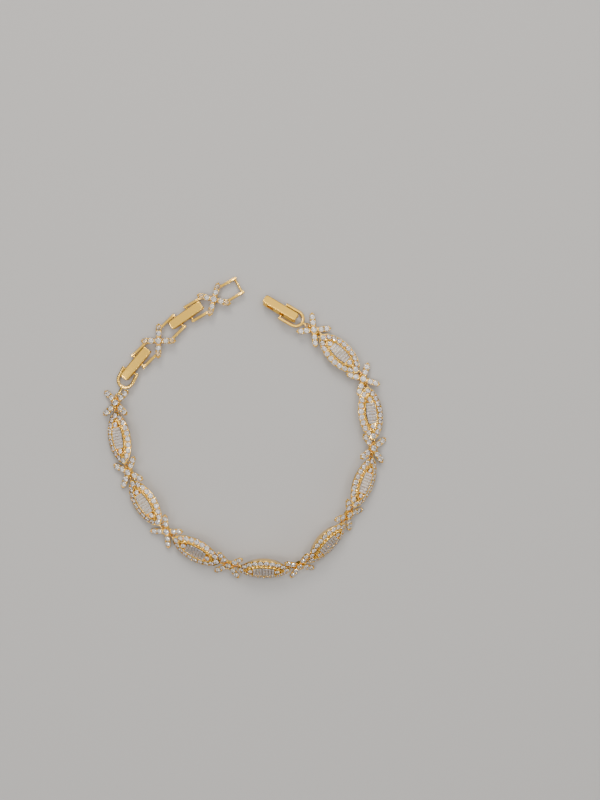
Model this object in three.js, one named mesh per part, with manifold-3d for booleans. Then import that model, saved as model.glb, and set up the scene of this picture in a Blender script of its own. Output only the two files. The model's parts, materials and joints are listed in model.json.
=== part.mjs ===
// Leaf bracelet in gold-plated metal with clear stones, laid open on a flat surface.
// Eight two-tier leaf clusters alternate with four-petal flower links. A fold-over clasp starts
// the chain, and two fold-over extender links and an open catch frame end it.
// Units are millimetres, +Z is up, and the origin is the middle of the underside's box.
import * as THREE from 'three';
import { mergeVertices } from 'three/addons/utils/BufferGeometryUtils.js';
import Module from 'manifold-3d';

// Every link has its own frame: x runs along the chain, z is up through its face, and the
// origin lies on the chain's axis, at the height of the joints.

// eyes that link the leaves and flowers
const EYE_WIRE = 0.16; // radius of the eye's wire
const EYE_PLAY = 0.15; // clear space between two linked eyes
const EYE_REACH = EYE_WIRE + EYE_PLAY / 2; // from the joint to the middle of an eye's outer wire
const EYE_RADIUS = 0.53; // from an eye's middle to the middle of its wire
const UNDERSIDE = -(EYE_RADIUS + EYE_WIRE); // of the leaves and flowers
const EYE_SIDES = 5;
const EYE_STEPS = 7;

// leaf
const LEAF_LENGTH = 14.4; // between the points where the rim's arcs would meet
const LEAF_WIDTH = 6.4;
const LEAF_STEPS = 9; // straight steps in each long side of a leaf outline
const LEAF_JOINT = 7.2; // from the leaf's middle to either joint
const LEAF_UNDER_SCALE = 0.68; // underside against the rim
const RIM_LOW_SCALE = 0.93; // lower edge of the rim against the rim
const RIM_LOW = 0.86; // heights above the chain's axis
const RIM_TOP = 1.1;
const TIER_FOOT = 1.5;
const TIER_TOP = 1.9;
const TIER_LENGTH = 9.8;
const TIER_WIDTH = 3.5;
const BACK_SCALE = 0.62; // hollow of the open back against the rim
const BACK_DEPTH = 0.9;
const NECK_START = 4.5; // of the neck that carries a leaf's eye
const NECK_HALF_WIDTH = 0.3;
const BACK_STEPS = 4;
const PAVED_BAND = 2; // the slope from the rim's top to the tier's foot
const END_STONE_AT = 3.5;
const END_STONE_HALF = 0.45;

// round stones
const STONE_FOOT_HALF = 0.55; // half the side of a stone's square foot
const STONE_FILL = 0.42; // largest share of a flat, to either side of its middle
const STONE_TABLE_REACH = 0.78; // the table's corners against the foot's sides
const STONE_RISE = 0.27;
const STONE_SINK = 0.1; // of a stone that is set into a flat top

// row of baguettes
const BAGUETTES = 7;
const BAGUETTE_PITCH = 0.75;
const ROW_HALF_LENGTH = BAGUETTES * BAGUETTE_PITCH / 2;
const ROW_HALF_MIDDLE = 1.25; // half the row's width at its middle baguettes
const ROW_HALF_END = 0.82; // and at its ends
const ROW_SHOULDER = 1.5; // where the row starts to narrow, in baguettes from its middle
const ROW_BEVEL = 0.12;
const ROW_FOOT = 1.72;
const ROW_GIRDLE = 1.96;
const ROW_TABLE = 2.16;
const SEAT_PLAY = 0.1; // clear space between a loose stone and its seat

// flower
const FLOWER_JOINT = 1.55; // from the flower's middle to either joint
const PETAL_START = 0.6; // distances from the flower's middle
const PETAL_SHOULDER = 3.6;
const PETAL_TIP = 4.5;
const PETAL_HALF_WIDTH = 0.75;
const PETAL_ROOT_HALF_WIDTH = 0.58;
const PETAL_LOW = 0.23;
const PETAL_TOP = 0.55;
const PETAL_STONES = [1.85, 3.3]; // distances of a petal's stones from the flower's middle
const PETAL_STONE_HALF = 0.5;
const HUB_RADIUS = 1;
const HUB_LOW = -0.45;
const HUB_TOP = 0.75;
const CENTRE_STONE_RADIUS = 0.72;
const CENTRE_SEAT_DEPTH = 0.45;
const CENTRE_CULET = -0.35; // heights above the hub
const CENTRE_GIRDLE = 0.08;
const CENTRE_CROWN = 0.36;
const CENTRE_TABLE = 0.58; // table against the girdle
const ROUND_SIDES = 8; // of the centre stone, its seat and the hub

// rectangular frames soldered to the last two flowers
const RAIL_OUTER = 4.7; // over both rails
const RAIL_WIDTH = 0.65;
const RAIL_LOW = -0.3;
const RAIL_TOP = 0.4;
const RAIL_START = 1.9;
const RAIL_PAST_BAR = 0.2; // how far a rail's end stands past the cross bar
const FRAME_REACH = 7.05; // from the flower's middle to the cross bar's middle
const BAR_RADIUS = 0.28;
const BAR_SIDES = 8;

// fold-over unit: x runs from its free end to its tail
const UNIT_LENGTH = 9.5;
const UNIT_BAR = 2.45; // middle of the bar that it grips
const UNIT_PIN = 5.75; // middle of the bar that it is pinned on
const UNIT_HINGE = 9.1; // hinge of the cover
const UNIT_LOW = -0.85;
const TRAY_FLOOR = 0.35;
const TRAY_WIDTH = 1.9;
const TRAY_WALL = 0.3;
const TRAY_TOP = 0.45;
const TRAY_START = 0.45;
const TRAY_RISE = 0.3; // of a wall's lower edge, from the free end to the hinge
const TRAY_END_WALL = 0.35;
const TRAY_FLOOR_GAP = 0.75; // from the floor's end to the hinge
const PIN_NOTCH = 0.6; // half lengths of the notches in the walls
const BAR_NOTCH = 0.85;
const NOTCH_LOW = -0.45;
const LUG_HALF_WIDTH = 0.45;
const LUG_BORE = 0.44;
const LUG_RADIUS = 0.58;
const LUG_SIDES = 10;
const LUG_FOOT_TOP = -0.2;
const COVER_LOW = 0.72;
const COVER_TOP = 1.18;
const COVER_WIDTH = 2.32;
const COVER_BEVEL = 0.16;
const COVER_CORNER = 0.6; // cut off each corner of the plate
const CORNER_INSET = 0.6; // how much less is cut off the bevelled top, against the bevel
const CORNER_SOFT = 0.3; // place of the corner's middle point, against the corner
const LIP_THICK = 0.3;
const LIP_LOW = -0.2;
const HINGE_PIN = 0.22;
const PIN_SIDES = 6;
const HINGE_BORE = 0.34;
const EAR_RADIUS = 0.55;
const EAR_STEPS = 4; // straight steps in the ear's half circle
const KNUCKLE_RADIUS = 0.4;
const KNUCKLE_HALF_WIDTH = 0.5;
const KNUCKLE_NECK_HALF = 0.3;

// bail of the clasp and D-ring of the first extender
const LOOP_HALF_HEIGHT = 0.3;
const LOOP_WIRE = 0.72;
const LOOP_STEPS = 7;
const LOOP_NECK_HALF = 0.3; // half the width of the neck between bend and eye
const BAIL_WIDTH = 4.9;
const BAIL_LENGTH = 5.85; // from the bar's middle to the outside of the bend
const BAIL_JOINT = 7.35; // from the bar's middle to the joint with the flower
const DRING_WIDTH = 4.7;
const DRING_LENGTH = 4.7;
const DRING_JOINT = 7.25;

// The chain, from the clasp's free end to the catch frame. heading is the way that a link
// runs, in degrees from +x, and roll is how far its face leans out of the loop.
const CHAIN = [
  { name: 'clasp', kind: 'clasp', heading: -31, roll: 24 },
  { name: 'bail', kind: 'bail', heading: -30, roll: 21 },
  { name: 'flower_01', kind: 'flower', heading: -39, roll: 8 },
  { name: 'leaf_01', kind: 'leaf', heading: -44, roll: 6 },
  { name: 'flower_02', kind: 'flower', heading: -62, roll: 10 },
  { name: 'leaf_02', kind: 'leaf', heading: -83, roll: 14 },
  { name: 'flower_03', kind: 'flower', heading: -97, roll: 24 },
  { name: 'leaf_03', kind: 'leaf', heading: -111, roll: 36 },
  { name: 'flower_04', kind: 'flower', heading: -122, roll: 43 },
  { name: 'leaf_04', kind: 'leaf', heading: -133, roll: 49 },
  { name: 'flower_05', kind: 'flower', heading: -158, roll: 50 },
  { name: 'leaf_05', kind: 'leaf', heading: -181, roll: 48 },
  { name: 'flower_06', kind: 'flower', heading: -195, roll: 38 },
  { name: 'leaf_06', kind: 'leaf', heading: -208, roll: 30 },
  { name: 'flower_07', kind: 'flower', heading: -223, roll: 26 },
  { name: 'leaf_07', kind: 'leaf', heading: -237, roll: 24 },
  { name: 'flower_08', kind: 'flower', heading: -249, roll: 24 },
  { name: 'leaf_08', kind: 'leaf', heading: -259, roll: 25 },
  { name: 'flower_09', kind: 'flower', heading: -272, roll: 17 },
  { name: 'd_ring', kind: 'd_ring', heading: -297, roll: 11 },
  { name: 'extender_1', kind: 'extender', heading: -310, roll: 9 },
  { name: 'flower_10', kind: 'framed', heading: -315, roll: 6 },
  { name: 'extender_2', kind: 'extender', heading: -325, roll: 8 },
  { name: 'flower_11', kind: 'framed', heading: -330, roll: 5 },
];

const JOIN_DEPTH = 0.1; // how far one joined piece reaches into another
const CUT_PAST = 1; // how far a cutting body runs past the surface that it cuts

const GOLD = { color: 0xdcb26a, metalness: 1, roughness: 0.2 };
const PAVED = { color: 0xe2c692, metalness: 0.8, roughness: 0.3 };
const STONE = { color: 0xf1eef2, metalness: 0, roughness: 0.05 };

const wasm = await Module();
wasm.setup();

// ---- solids ----

function solid(geometry) {
  const shape = geometry.index ? geometry.toNonIndexed() : geometry.clone();
  shape.deleteAttribute('normal');
  shape.deleteAttribute('uv');
  const merged = mergeVertices(shape, 1e-4);
  return new wasm.Manifold(new wasm.Mesh({
    numProp: 3,
    vertProperties: new Float32Array(merged.attributes.position.array),
    triVerts: new Uint32Array(merged.index.array),
  }));
}

function join(solids) {
  return solids.reduce((sum, next) => sum.add(next));
}

function geometryOf(corners, faces) {
  const geometry = new THREE.BufferGeometry().setFromPoints(corners);
  geometry.setIndex(faces);
  return geometry;
}

// Closed body through stacked rings of points. Each ring is counter-clockwise seen from the
// last ring's side, and all have the same number of points. Between the ring numbered paved
// and the next, each flat carries one stone.
function loft(rings, paved = -1) {
  const count = rings[0].length;
  const corners = rings.flat();
  const faces = [];
  for (let ring = 0; ring + 1 < rings.length; ring += 1) {
    for (let i = 0; i < count; i += 1) {
      const a = ring * count + i;
      const b = ring * count + (i + 1) % count;
      if (ring === paved) pushStone(corners, faces, [a, b, b + count, a + count]);
      else faces.push(a, b, b + count, a, b + count, a + count);
    }
  }
  const outline = rings[0].map((point) => new THREE.Vector2(point.x, point.y));
  const top = (rings.length - 1) * count;
  for (const [a, b, c] of THREE.ShapeUtils.triangulateShape(outline, [])) {
    faces.push(a, c, b, top + a, top + b, top + c);
  }
  return geometryOf(corners, faces);
}

// Adds a cut stone on the flat between four corners: a square foot in the flat, a square table
// turned by 45 degrees above it, and eight crown facets between them.
function pushStone(corners, faces, quad) {
  const [a, b, c, d] = quad.map((index) => corners[index]);
  const across = b.distanceTo(a) + c.distanceTo(d);
  const up = d.distanceTo(a) + c.distanceTo(b);
  const normal = b.clone().sub(a).cross(d.clone().sub(a)).normalize();
  const place = (side, lift, rise) => {
    const u = 0.5 + side * Math.min(STONE_FILL, 2 * STONE_FOOT_HALF / across);
    const v = 0.5 + lift * Math.min(STONE_FILL, 2 * STONE_FOOT_HALF / up);
    const low = a.clone().lerp(b, u);
    const high = d.clone().lerp(c, u);
    return low.lerp(high, v).addScaledVector(normal, rise);
  };
  const foot = corners.length;
  const table = foot + 4;
  const reach = STONE_TABLE_REACH;
  corners.push(place(-1, -1, 0), place(1, -1, 0), place(1, 1, 0), place(-1, 1, 0));
  corners.push(place(0, -reach, STONE_RISE), place(reach, 0, STONE_RISE));
  corners.push(place(0, reach, STONE_RISE), place(-reach, 0, STONE_RISE));
  for (let i = 0; i < 4; i += 1) {
    const next = (i + 1) % 4;
    faces.push(quad[i], quad[next], foot + next, quad[i], foot + next, foot + i);
    faces.push(foot + i, foot + next, table + i, foot + next, table + next, table + i);
  }
  faces.push(table, table + 1, table + 2, table, table + 2, table + 3);
}

function ringAt(outline, z) {
  return outline.map((point) => new THREE.Vector3(point.x, point.y, z));
}

function prism(outline, low, top) {
  return loft([ringAt(outline, low), ringAt(outline, top)]);
}

function box(xLow, xTop, yLow, yTop, zLow, zTop) {
  const geometry = new THREE.BoxGeometry(xTop - xLow, yTop - yLow, zTop - zLow);
  return geometry.translate((xLow + xTop) / 2, (yLow + yTop) / 2, (zLow + zTop) / 2);
}

// Round bar along y through the chain's axis at x.
function crossBar(radius, length, x, sides) {
  const bar = prism(circle(radius, sides, Math.PI / sides), -length / 2, length / 2);
  return bar.rotateX(Math.PI / 2).translate(x, 0, 0);
}

// Outline made of two equal arcs that meet at the points of a leaf. With a phase of 0 it has
// a corner at each point. With 0.5 the points are cut off by a short flat end.
function leafOutline(length, width, steps, phase) {
  const halfLength = length / 2;
  const halfWidth = width / 2;
  const radius = (halfLength ** 2 + halfWidth ** 2) / (2 * halfWidth);
  const spread = Math.asin(halfLength / radius);
  const points = [];
  for (const side of [1, -1]) {
    for (let i = 0; i < steps; i += 1) {
      const angle = spread * (1 - 2 * (i + phase) / steps);
      const x = side * radius * Math.sin(angle);
      const y = side * (radius * Math.cos(angle) - radius + halfWidth);
      points.push(new THREE.Vector2(x, y));
    }
  }
  return points;
}

function circle(radius, sides, turn = 0) {
  return Array.from({ length: sides }, (_, i) => {
    const angle = turn + i * 2 * Math.PI / sides;
    return new THREE.Vector2(radius * Math.cos(angle), radius * Math.sin(angle));
  });
}

// Cut stone of the same form, standing free so that it can be set into a flat top.
function cutStone(half, x, z) {
  const foot = circle(half * Math.SQRT2, 4, Math.PI / 4);
  const table = circle(half * STONE_TABLE_REACH, 4, Math.PI / 2);
  const corners = [...ringAt(foot, z - STONE_SINK), ...ringAt(table, z + STONE_RISE)];
  const faces = [0, 2, 1, 0, 3, 2, 4, 5, 6, 4, 6, 7];
  for (let i = 0; i < 4; i += 1) {
    const next = (i + 1) % 4;
    faces.push(i, 4 + i, 4 + (i + 3) % 4, i, next, 4 + i);
  }
  return geometryOf(corners, faces).translate(x, 0, 0);
}

// Ring of wire about a vertical axis, with its outer wire's middle at x = reach.
function eye(reach, standing, side) {
  const geometry = new THREE.TorusGeometry(EYE_RADIUS, EYE_WIRE, EYE_SIDES, EYE_STEPS);
  if (standing) geometry.rotateX(Math.PI / 2);
  if (side < 0) geometry.rotateZ(Math.PI);
  return geometry.translate(side * (reach - EYE_RADIUS), 0, 0);
}

// ---- leaf ----

// Half the row's width at a distance from its middle.
function rowHalfAt(x) {
  const shoulder = ROW_SHOULDER * BAGUETTE_PITCH;
  const narrowing = (Math.abs(x) - shoulder) / (ROW_HALF_LENGTH - shoulder);
  const share = THREE.MathUtils.clamp(narrowing, 0, 1);
  return THREE.MathUtils.lerp(ROW_HALF_MIDDLE, ROW_HALF_END, share);
}

// The row's outline, down one side and back up the other, with a point at each groove.
function rowOutline() {
  const grooves = Array.from({ length: BAGUETTES + 1 }, (_, i) => {
    const x = ROW_HALF_LENGTH - i * BAGUETTE_PITCH;
    return new THREE.Vector2(x, rowHalfAt(x));
  });
  const back = grooves.map((point) => new THREE.Vector2(-point.x, -point.y));
  return [...grooves, ...back];
}

function rowSeat() {
  const shoulder = ROW_SHOULDER * BAGUETTE_PITCH;
  const end = ROW_HALF_LENGTH + SEAT_PLAY;
  const half = ROW_HALF_MIDDLE + SEAT_PLAY;
  const tip = ROW_HALF_END + SEAT_PLAY;
  const side = [
    new THREE.Vector2(end, tip),
    new THREE.Vector2(shoulder, half),
    new THREE.Vector2(-shoulder, half),
    new THREE.Vector2(-end, tip),
  ];
  const outline = [...side, ...side.map((point) => new THREE.Vector2(-point.x, -point.y))];
  return prism(outline, ROW_FOOT - SEAT_PLAY, TIER_TOP + CUT_PAST);
}

function leafSetting() {
  const rim = leafOutline(LEAF_LENGTH, LEAF_WIDTH, LEAF_STEPS, 0.5);
  const under = rim.map((point) => point.clone().multiplyScalar(LEAF_UNDER_SCALE));
  const low = rim.map((point) => point.clone().multiplyScalar(RIM_LOW_SCALE));
  const tier = leafOutline(TIER_LENGTH, TIER_WIDTH, LEAF_STEPS, 0.5);
  const back = leafOutline(
    LEAF_LENGTH * BACK_SCALE,
    LEAF_WIDTH * BACK_SCALE,
    BACK_STEPS,
    0.5,
  );
  const body = loft([
    ringAt(under, UNDERSIDE),
    ringAt(low, RIM_LOW),
    ringAt(rim, RIM_TOP),
    ringAt(tier, TIER_FOOT),
    ringAt(tier, TIER_TOP),
  ], PAVED_BAND);
  const ends = [-1, 1].map((side) => cutStone(END_STONE_HALF, side * END_STONE_AT, TIER_TOP));
  const eyes = [-1, 1].map((side) => eye(LEAF_JOINT + EYE_REACH, false, side));
  const neckEnd = LEAF_JOINT + EYE_REACH - 2 * EYE_RADIUS;
  const half = NECK_HALF_WIDTH;
  const necks = [
    box(NECK_START, neckEnd, -half, half, -EYE_WIRE, EYE_WIRE),
    box(-neckEnd, -NECK_START, -half, half, -EYE_WIRE, EYE_WIRE),
  ];
  const whole = join([body, ...ends, ...necks, ...eyes].map(solid));
  const hollow = prism(back, UNDERSIDE - CUT_PAST, UNDERSIDE + BACK_DEPTH);
  return whole.subtract(solid(hollow)).subtract(solid(rowSeat()));
}

// Baguettes side by side, each with a bevelled table, on one base.
function baguetteRow() {
  const outline = rowOutline();
  const count = outline.length;
  const corners = [...ringAt(outline, ROW_FOOT), ...ringAt(outline, ROW_GIRDLE)];
  const faces = [];
  for (let i = 0; i < count; i += 1) {
    const next = (i + 1) % count;
    faces.push(i, next, count + next, i, count + next, count + i);
    if (i > 0 && next > 0) faces.push(0, next, i);
  }
  for (let i = 0; i < BAGUETTES; i += 1) {
    const quad = [i, i + 1, count - 2 - i, count - 1 - i].map((index) => count + index);
    const table = corners.length;
    const middle = (corners[quad[0]].x + corners[quad[1]].x) / 2;
    for (const index of quad) {
      const { x, y } = corners[index];
      const inner = x - Math.sign(x - middle) * ROW_BEVEL;
      corners.push(new THREE.Vector3(inner, y - Math.sign(y) * ROW_BEVEL, ROW_TABLE));
    }
    for (let side = 0; side < 4; side += 1) {
      const next = (side + 1) % 4;
      faces.push(quad[side], quad[next], table + next, quad[side], table + next, table + side);
    }
    faces.push(table, table + 1, table + 2, table, table + 2, table + 3);
  }
  return solid(geometryOf(corners, faces));
}

// ---- flower ----

function petalOutline() {
  const half = PETAL_HALF_WIDTH;
  const root = PETAL_ROOT_HALF_WIDTH;
  return [
    new THREE.Vector2(PETAL_START, -root),
    new THREE.Vector2(PETAL_SHOULDER, -half),
    new THREE.Vector2(PETAL_TIP, 0),
    new THREE.Vector2(PETAL_SHOULDER, half),
    new THREE.Vector2(PETAL_START, root),
  ];
}

function flowerPieces() {
  const pieces = [];
  for (const corner of [1, 3, 5, 7]) {
    const angle = corner * Math.PI / 4;
    pieces.push(prism(petalOutline(), PETAL_LOW, PETAL_TOP).rotateZ(angle));
    for (const distance of PETAL_STONES) {
      pieces.push(cutStone(PETAL_STONE_HALF, distance, PETAL_TOP).rotateZ(angle));
    }
  }
  pieces.push(prism(circle(HUB_RADIUS, ROUND_SIDES), HUB_LOW, HUB_TOP));
  return pieces;
}

function stoneSeat() {
  const outline = circle(CENTRE_STONE_RADIUS + SEAT_PLAY, ROUND_SIDES);
  return solid(prism(outline, HUB_TOP - CENTRE_SEAT_DEPTH, HUB_TOP + CUT_PAST));
}

// Round cut stone: a pointed pavilion, eight crown facets and an eight-sided table.
function centreStone() {
  const radius = CENTRE_STONE_RADIUS;
  const profile = [
    new THREE.Vector2(0, HUB_TOP + CENTRE_CULET),
    new THREE.Vector2(radius, HUB_TOP + CENTRE_GIRDLE),
    new THREE.Vector2(radius * CENTRE_TABLE, HUB_TOP + CENTRE_CROWN),
    new THREE.Vector2(0, HUB_TOP + CENTRE_CROWN),
  ];
  return solid(new THREE.LatheGeometry(profile, ROUND_SIDES).rotateX(Math.PI / 2));
}

function framePieces(side) {
  const inner = RAIL_OUTER / 2 - RAIL_WIDTH;
  const near = side * RAIL_START;
  const far = side * (FRAME_REACH + BAR_RADIUS + RAIL_PAST_BAR);
  const span = [Math.min(near, far), Math.max(near, far)];
  return [
    box(span[0], span[1], inner, RAIL_OUTER / 2, RAIL_LOW, RAIL_TOP),
    box(span[0], span[1], -RAIL_OUTER / 2, -inner, RAIL_LOW, RAIL_TOP),
    crossBar(BAR_RADIUS, RAIL_OUTER - RAIL_WIDTH, side * FRAME_REACH, BAR_SIDES),
  ];
}

function flower(framed) {
  const pieces = flowerPieces();
  for (const side of [-1, 1]) {
    if (framed) pieces.push(...framePieces(side));
    else pieces.push(eye(FLOWER_JOINT + EYE_REACH, true, side));
  }
  return join(pieces.map(solid)).subtract(stoneSeat());
}

// ---- bail and D-ring ----

// Flat wire bent to a U, closed by a cross bar at x = 0 and with an eye beyond its bend.
function wireLoop(width, length, joint) {
  const outer = width / 2;
  const bend = length - outer;
  const path = new THREE.Shape();
  path.moveTo(-BAR_RADIUS, -outer);
  path.lineTo(bend, -outer);
  path.absarc(bend, 0, outer, -Math.PI / 2, Math.PI / 2, false);
  path.lineTo(-BAR_RADIUS, outer);
  path.lineTo(-BAR_RADIUS, outer - LOOP_WIRE);
  path.lineTo(bend, outer - LOOP_WIRE);
  path.absarc(bend, 0, outer - LOOP_WIRE, Math.PI / 2, -Math.PI / 2, true);
  path.lineTo(-BAR_RADIUS, -outer + LOOP_WIRE);
  const strip = new THREE.ExtrudeGeometry(path, {
    depth: 2 * LOOP_HALF_HEIGHT,
    bevelEnabled: false,
    curveSegments: LOOP_STEPS,
  });
  strip.translate(0, 0, -LOOP_HALF_HEIGHT);
  const eyeMiddle = joint + EYE_REACH - EYE_RADIUS;
  const neckEnd = eyeMiddle - EYE_RADIUS;
  const half = LOOP_NECK_HALF;
  const neck = box(length - half, neckEnd, -half, half, -EYE_WIRE, EYE_WIRE);
  const bar = crossBar(BAR_RADIUS, width - LOOP_WIRE, 0, BAR_SIDES);
  return join([strip, neck, bar, eye(joint + EYE_REACH, false, 1)].map(solid));
}

// ---- fold-over units ----

// Side outline of a tray's wall, in x and z, with notches for both bars and a round ear.
function trayWall() {
  const shape = new THREE.Shape();
  shape.moveTo(TRAY_START, UNIT_LOW);
  shape.lineTo(UNIT_HINGE, UNIT_LOW + TRAY_RISE);
  shape.absarc(UNIT_HINGE, 0, EAR_RADIUS, -Math.PI / 2, Math.PI / 2, false);
  shape.lineTo(UNIT_HINGE - EAR_RADIUS, TRAY_TOP);
  for (const [middle, notch] of [[UNIT_PIN, PIN_NOTCH], [UNIT_BAR, BAR_NOTCH]]) {
    shape.lineTo(middle + notch, TRAY_TOP);
    shape.lineTo(middle + notch, NOTCH_LOW);
    shape.lineTo(middle - notch, NOTCH_LOW);
    shape.lineTo(middle - notch, TRAY_TOP);
  }
  shape.lineTo(TRAY_START, TRAY_TOP);
  const bore = new THREE.Path();
  bore.absarc(UNIT_HINGE, 0, HINGE_BORE, 0, 2 * Math.PI, false);
  shape.holes.push(bore);
  const wall = new THREE.ExtrudeGeometry(shape, {
    depth: TRAY_WALL,
    bevelEnabled: false,
    curveSegments: EAR_STEPS,
  });
  return wall.rotateX(Math.PI / 2);
}

function tray() {
  const half = TRAY_WIDTH / 2;
  const left = trayWall().translate(0, half, 0);
  const right = trayWall().translate(0, -half + TRAY_WALL, 0);
  const floorEnd = UNIT_HINGE - TRAY_FLOOR_GAP;
  const floorTop = UNIT_LOW + TRAY_FLOOR;
  const floor = box(TRAY_START, floorEnd, -half, half, UNIT_LOW, floorTop);
  const endWall = TRAY_START + TRAY_END_WALL;
  const end = box(TRAY_START, endWall, -half, half, UNIT_LOW, TRAY_TOP);
  const lug = crossBar(LUG_RADIUS, 2 * LUG_HALF_WIDTH, UNIT_PIN, LUG_SIDES);
  const foot = box(
    UNIT_PIN - LUG_RADIUS,
    UNIT_PIN + LUG_RADIUS,
    -LUG_HALF_WIDTH,
    LUG_HALF_WIDTH,
    UNIT_LOW,
    LUG_FOOT_TOP,
  );
  const bore = solid(crossBar(LUG_BORE, TRAY_WIDTH, UNIT_PIN, LUG_SIDES));
  return join([left, right, floor, end, lug, foot].map(solid)).subtract(bore);
}

// Plate outline with cut corners, seen from above.
function plateOutline(inset) {
  const low = inset;
  const top = UNIT_LENGTH - inset;
  const half = COVER_WIDTH / 2 - inset;
  const corner = COVER_CORNER - inset * CORNER_INSET;
  const soft = corner * CORNER_SOFT;
  return [
    new THREE.Vector2(low + corner, -half),
    new THREE.Vector2(top - corner, -half),
    new THREE.Vector2(top - soft, -half + soft),
    new THREE.Vector2(top, -half + corner),
    new THREE.Vector2(top, half - corner),
    new THREE.Vector2(top - soft, half - soft),
    new THREE.Vector2(top - corner, half),
    new THREE.Vector2(low + corner, half),
    new THREE.Vector2(low + soft, half - soft),
    new THREE.Vector2(low, half - corner),
    new THREE.Vector2(low, -half + corner),
    new THREE.Vector2(low + soft, -half + soft),
  ];
}

function cover() {
  const plate = loft([
    ringAt(plateOutline(0), COVER_LOW),
    ringAt(plateOutline(0), COVER_TOP - COVER_BEVEL),
    ringAt(plateOutline(COVER_BEVEL), COVER_TOP),
  ]);
  const lipHalf = COVER_WIDTH / 2 - COVER_CORNER;
  const lip = box(0, LIP_THICK, -lipHalf, lipHalf, LIP_LOW, COVER_LOW + JOIN_DEPTH);
  const knuckle = crossBar(KNUCKLE_RADIUS, 2 * KNUCKLE_HALF_WIDTH, UNIT_HINGE, BAR_SIDES);
  const neck = box(
    UNIT_HINGE - KNUCKLE_NECK_HALF,
    UNIT_HINGE + KNUCKLE_NECK_HALF,
    -KNUCKLE_HALF_WIDTH,
    KNUCKLE_HALF_WIDTH,
    0,
    COVER_LOW + JOIN_DEPTH,
  );
  const pin = crossBar(HINGE_PIN, TRAY_WIDTH, UNIT_HINGE, PIN_SIDES);
  return join([plate, lip, knuckle, neck, pin].map(solid));
}

// ---- assembly ----

// For each kind: the joints' places along its own x, the corners of its section that may
// touch the surface, as y and z, and the solids that it is made of.
const PAVED_FLOWER = flower(false);
const FRAMED_FLOWER = flower(true);
const CENTRE_STONE = centreStone();
const TRAY = tray();
const COVER = cover();
const UNIT_SOLIDS = { _tray: [TRAY, GOLD], _cover: [COVER, GOLD] };
const UNIT_FEET = [[TRAY_WIDTH / 2, UNIT_LOW]];
const FLOWER_FEET = [[EYE_WIRE, UNDERSIDE], [PETAL_TIP * Math.SQRT1_2, PETAL_LOW]];
const KINDS = {
  clasp: { start: 0, end: UNIT_PIN, feet: UNIT_FEET, solids: UNIT_SOLIDS },
  bail: {
    start: 0,
    end: BAIL_JOINT,
    feet: [[BAIL_WIDTH / 2, -LOOP_HALF_HEIGHT]],
    solids: { '': [wireLoop(BAIL_WIDTH, BAIL_LENGTH, BAIL_JOINT), GOLD] },
  },
  flower: {
    start: -FLOWER_JOINT,
    end: FLOWER_JOINT,
    feet: FLOWER_FEET,
    solids: { '': [PAVED_FLOWER, PAVED], _stone: [CENTRE_STONE, STONE] },
  },
  leaf: {
    start: -LEAF_JOINT,
    end: LEAF_JOINT,
    feet: [[LEAF_WIDTH / 2 * LEAF_UNDER_SCALE, UNDERSIDE]],
    solids: { '': [leafSetting(), PAVED], _baguettes: [baguetteRow(), STONE] },
  },
  d_ring: {
    start: -DRING_JOINT,
    end: 0,
    feet: [[DRING_WIDTH / 2, -LOOP_HALF_HEIGHT]],
    solids: {
      '': [
        wireLoop(DRING_WIDTH, DRING_LENGTH, DRING_JOINT).rotate([0, 0, 180]),
        GOLD,
      ],
    },
  },
  extender: { start: UNIT_BAR, end: UNIT_PIN, feet: UNIT_FEET, solids: UNIT_SOLIDS },
  framed: {
    start: -FRAME_REACH,
    end: FRAME_REACH,
    feet: FLOWER_FEET,
    solids: { '': [FRAMED_FLOWER, PAVED], _stone: [CENTRE_STONE, STONE] },
  },
};

// Height of a link's axis when its lowest corner touches the surface at its own roll.
function axisHeight(link) {
  const roll = THREE.MathUtils.degToRad(link.roll);
  const heights = KINDS[link.kind].feet.map(([y, z]) => y * Math.sin(roll) - z * Math.cos(roll));
  return Math.max(...heights);
}

// The joints' places, found by walking the chain link by link.
function chainJoints() {
  const joints = [new THREE.Vector3(0, 0, axisHeight(CHAIN[0]))];
  CHAIN.forEach((link, i) => {
    const kind = KINDS[link.kind];
    const next = CHAIN[Math.min(i + 1, CHAIN.length - 1)];
    const height = (axisHeight(link) + axisHeight(next)) / 2;
    const from = joints[i];
    const length = kind.end - kind.start;
    const run = Math.sqrt(length ** 2 - (height - from.z) ** 2);
    const heading = THREE.MathUtils.degToRad(link.heading);
    const x = from.x + run * Math.cos(heading);
    const y = from.y + run * Math.sin(heading);
    joints.push(new THREE.Vector3(x, y, height));
  });
  return joints;
}

function linkMatrix(link, from, to) {
  const along = to.clone().sub(from).normalize();
  const left = new THREE.Vector3(0, 0, 1).cross(along).normalize();
  const basis = new THREE.Matrix4().makeBasis(along, left, along.clone().cross(left));
  const roll = new THREE.Matrix4().makeRotationX(-THREE.MathUtils.degToRad(link.roll));
  const back = new THREE.Matrix4().makeTranslation(-KINDS[link.kind].start, 0, 0);
  const place = new THREE.Matrix4().makeTranslation(from.x, from.y, from.z);
  return place.multiply(basis).multiply(roll).multiply(back);
}

function meshOf(name, shape, finish) {
  const { vertProperties, triVerts } = shape.getMesh();
  const geometry = new THREE.BufferGeometry();
  geometry.setAttribute('position', new THREE.BufferAttribute(new Float32Array(vertProperties), 3));
  geometry.setIndex(new THREE.BufferAttribute(new Uint32Array(triVerts), 1));
  geometry.computeVertexNormals();
  const mesh = new THREE.Mesh(geometry, new THREE.MeshStandardMaterial(finish));
  mesh.name = name;
  return mesh;
}

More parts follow.
